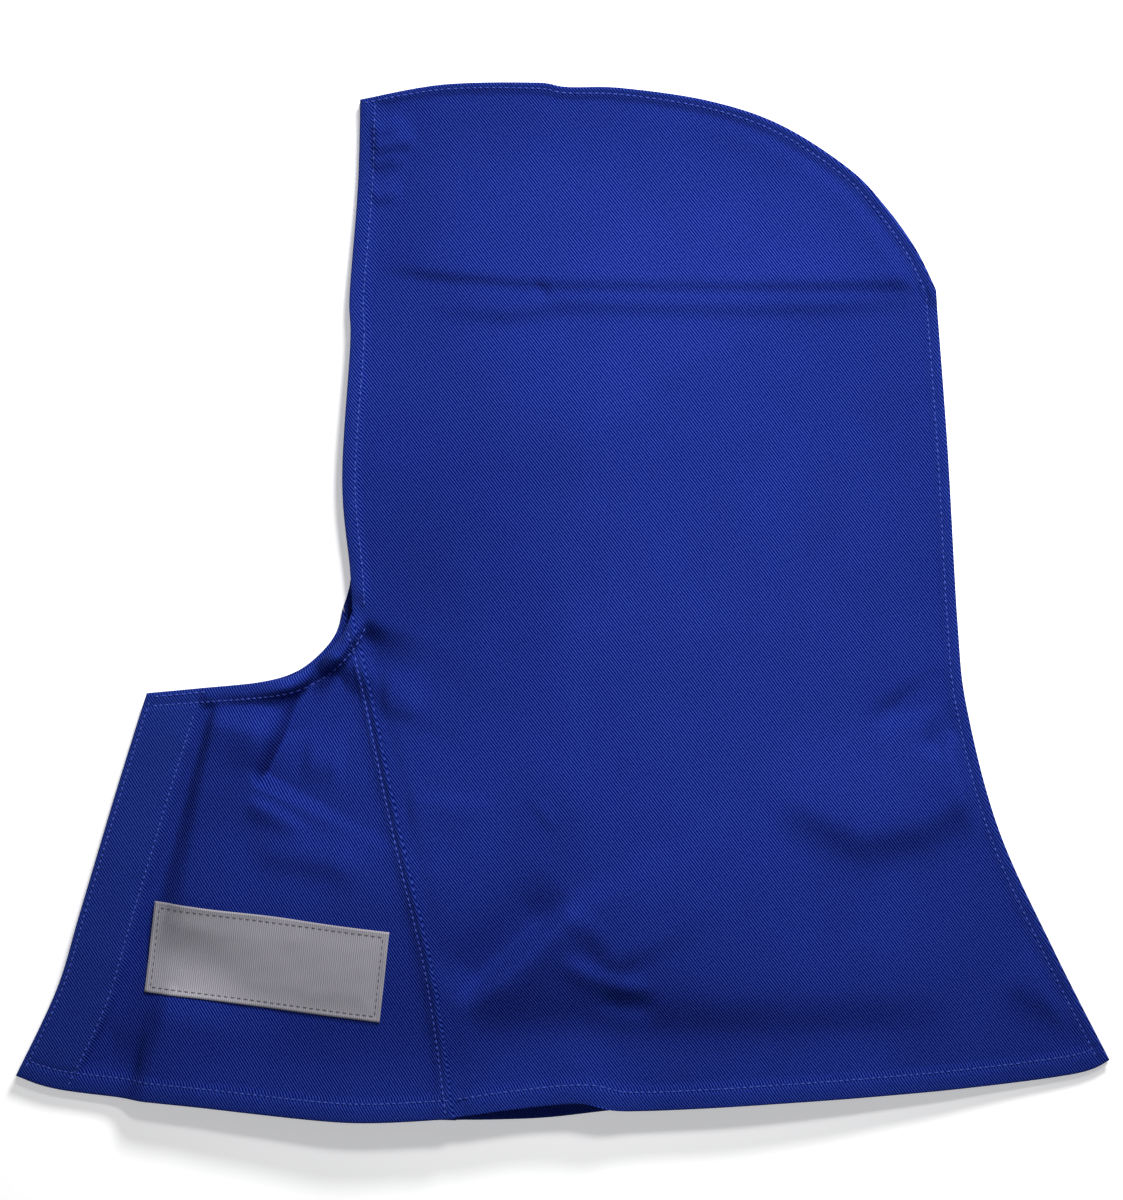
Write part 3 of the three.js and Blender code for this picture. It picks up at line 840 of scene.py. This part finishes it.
# %% Rows along the hems
# Each row: the edge, 1 for the right of its run or -1 for the left, and what is left out at start and end.
SIDE_ROWS = [("face", -1, 2, 2), ("crown", 1, 1, 2), ("nape", 1, 3, 4), ("side_hem", -1, 2, 3)]
BIB_ROWS = [("neck", 1, 2, 5), ("bib_hem", -1, 3, 2), ("seam", 1, 8, 2), ("front", -1, 3, 6)]
FRONT_ROW, FRONT_ROW_ENDS = 2.2, (3, 5)  # a second row close to the edge, without its ends
NECK_ROW, NECK_ROW_FROM, NECK_ROW_TO = 1.8, 3, 24  # another at the neck, over the placket only


def side_top(x, y):
    """Height of the left side panel's outer face."""
    thick, rounding, _ = thickness(LEFT, SIDE_TURNED, x, y)
    return left_underside(x, y) + thick * (1 + rounding) / 2


def hem_row(name, side, start, end):
    """The stitch line of a turned edge, without its ends."""
    line = hem_line(name, np.linspace(0, 1, EDGE_STEPS + 1))
    return part_of(beside(LEFT[name], side * line), start, end)


front_row = part_of(beside(front, -FRONT_ROW), *FRONT_ROW_ENDS)
neck_rest = length_of(LEFT["neck"]) - NECK_ROW_TO
neck_row = part_of(beside(LEFT["neck"], NECK_ROW), NECK_ROW_FROM, neck_rest)
side_stitches = stitch_mesh("left_side_stitches", [hem_row(*row) for row in SIDE_ROWS], side_top)
bib_rows = [hem_row(*row) for row in BIB_ROWS] + [front_row, neck_row]
bib_stitches = stitch_mesh("left_bib_stitches", bib_rows, bib_top)

# %% Rows round the label
LABEL_PITCH, LABEL_THREAD = 2.8, 0.22
LABEL_ROW_STEPS = 30


def label_row(start, end):
    """A straight row between two points that are measured on the label from its middle."""
    points = np.linspace(start, end, LABEL_ROW_STEPS)
    return evenly(np.column_stack(label_place(points[:, 0], points[:, 1])))


def label_top(x, y):
    """Height of the label's outer face."""
    turn = math.radians(LABEL["turn"])
    dx, dy = x - LABEL["x"], y - LABEL["y"]
    across, up = dx * math.cos(turn) + dy * math.sin(turn), dy * math.cos(turn) - dx * math.sin(turn)
    return label_bed(x, y) + label_lift(across, up) + LABEL["thick"]


w, h = LABEL["width"] / 2 - LABEL_LINE, LABEL["height"] / 2 - LABEL_LINE
label_corners = [(-w, h), (w, h), (w, -h), (-w, -h), (-w, h)]
label_rows = [label_row(a, b) for a, b in zip(label_corners, label_corners[1:])]
label_stitches = stitch_mesh("label_stitches", label_rows, label_top, LABEL_THREAD, LABEL_PITCH)


# %% Thread
def thread_material(name, dark, light):
    """Spun polyester thread: twisted, a little glossier than the cloth, so it shows as fine dashes."""
    m = bare_material(name)
    place = add(m, "TexCoord").outputs["Object"]
    ply = add(m, "TexNoise", Vector=place, Scale=1.5 / MM, Detail=2.0).outputs["Fac"]
    colour = add(m, "ValToRGB", stops=[(0.3, dark), (0.7, light)], Fac=ply).outputs[0]
    bump = add(m, "Bump", Strength=0.4, Distance=0.1 * MM, Height=ply).outputs[0]
    shader = add(m, "BsdfPrincipled", Base_Color=colour, Roughness=0.6, Normal=bump, IOR=1.57,
                 Specular_IOR_Level=0.2)
    add(m, "OutputMaterial", Surface=shader.outputs[0])
    return m


blue_thread = thread_material("royal_blue_polyester_thread", "#1b2e8a", "#4256b0")
grey_thread = thread_material("charcoal_polyester_thread", "#4c4a50", "#77747a")
side_stitches.data.materials.append(blue_thread)
bib_stitches.data.materials.append(blue_thread)
label_stitches.data.materials.append(grey_thread)

# %% [markdown]
# ## Bodies and sheets
# Cloth has no joints, so every piece rides on the one body and stands in for its solid, and the size it was
# cut to is printed. A panel's flat size is the extent of its outline plus what is turned in at its edges,
# and its area is the area inside the outline.

# %% Pieces and their cut sizes
SIDE_FLAT, BIB_FLAT = (0.345, 0.450), (0.205, 0.240)  # metres
TAPE_FLAT, LABEL_FLAT = (0.020, 0.153), (0.102, 0.039)


def outline_area(*edges):
    """Area inside a closed run of edges, in square metres."""
    x, y = np.vstack(edges).T
    return float(abs(np.dot(x, np.roll(y, -1)) - np.dot(y, np.roll(x, -1)))) / 2 * MM**2


def side_area(half):
    return outline_area(half["crown"], nape, half["side_hem"][::-1], half["seam"][::-1], half["face"][::-1])


def bib_area(half):
    return outline_area(half["neck"], half["seam"], half["bib_hem"][::-1], front[::-1])


def declare(piece, node, flat, area, threads=()):
    for part in (piece, *threads):
        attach(part, "root")
    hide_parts(node)
    print(piece.name, "flat", [round(side, 3) for side in flat], "m, area", round(area, 4), "square metres")


declare(right_side, "right_side_panel", SIDE_FLAT, side_area(RIGHT))
declare(right_bib, "right_bib", BIB_FLAT, bib_area(RIGHT))
declare(tape, "closure_tape", TAPE_FLAT, math.prod(TAPE_FLAT))
declare(left_side, "left_side_panel", SIDE_FLAT, side_area(LEFT),
        [side_stitches])
declare(left_bib, "left_bib", BIB_FLAT, bib_area(LEFT),
        [bib_stitches])
declare(label, "label", LABEL_FLAT, math.prod(LABEL_FLAT), [label_stitches])

# %% [markdown]
# ## Studio
# The hood lies on white paper that glows a little, as on a light table. A soft lamp stands low at the upper
# right, so that folds which face away from it turn dark. A spot from the same side pools light over the
# middle, and a weak lamp fills in from the lower side. The camera looks straight down from a height of
# 1.7 m: a long lens from far away keeps the outline true.

# %% Floor
FLOOR_HALF, FLOOR_Z = 4, -0.0003  # metres; the paper lies a hair below the cloth
floor_corners = [(-1, -1), (1, -1), (1, 1), (-1, 1)]
floor_points = [(FLOOR_HALF * x, FLOOR_HALF * y, FLOOR_Z) for x, y in floor_corners]
floor_mesh = bpy.data.meshes.new("floor")
floor_mesh.from_pydata(floor_points, [], [(0, 1, 2, 3)])
floor = bpy.data.objects.new("floor", floor_mesh)
bpy.context.collection.objects.link(floor)
paper = bare_material("white_paper")
shader = add(paper, "BsdfPrincipled", Base_Color=linear("#fbfbfb"), Roughness=0.9,
             Emission_Color=linear("#ffffff"), Emission_Strength=0.35)
add(paper, "OutputMaterial", Surface=shader.outputs[0])
floor.data.materials.append(paper)


# %% Light
def lamp(name, kind, place, aim, watts, **shape):
    """A lamp that points at aim; shape holds the settings of its kind."""
    light = bpy.data.lights.new(name, kind)
    light.energy = watts
    for setting, value in shape.items():
        setattr(light, setting, value)
    holder = bpy.data.objects.new(name, light)
    holder.location = place
    holder.rotation_euler = (Vector(aim) - holder.location).to_track_quat("-Z", "Y").to_euler()
    holder.visible_camera = False
    bpy.context.collection.objects.link(holder)
    print("lamp", name, watts, "W")


lamp("key", "AREA", (0.36, 0.9, 0.8), (0, 0, 0), 18, shape="DISK", size=0.4)
lamp("pool", "SPOT", (0.28, 0.68, 1.35), (0.02, 0, 0), 66, spot_size=math.radians(24), spot_blend=1,
     shadow_soft_size=0.12)
lamp("fill", "AREA", (-0.1, -0.45, 1.7), (0, 0, 0), 3, shape="DISK", size=0.5)
world = bpy.data.worlds.new("studio")
world.use_nodes = True
world.node_tree.nodes["Background"].inputs["Color"].default_value = linear("#f2f4f8")
world.node_tree.nodes["Background"].inputs["Strength"].default_value = 0.1
bpy.context.scene.world = world
bpy.context.scene.view_settings.view_transform = "Standard"

# %% Camera
PHOTO_ROWS, MM_PER_PIXEL = 1200, 0.43
FRAME_MID, EYE = (-0.65, 0.86), 1700  # what the camera looks at, and from how high
camera = bpy.data.objects.new("camera", bpy.data.cameras.new("camera"))
camera.location = (FRAME_MID[0] * MM, FRAME_MID[1] * MM, EYE * MM)
camera.data.lens = camera.data.sensor_width * EYE / (PHOTO_ROWS * MM_PER_PIXEL)
bpy.context.collection.objects.link(camera)
bpy.context.scene.camera = camera
print("lens", round(camera.data.lens), "mm")
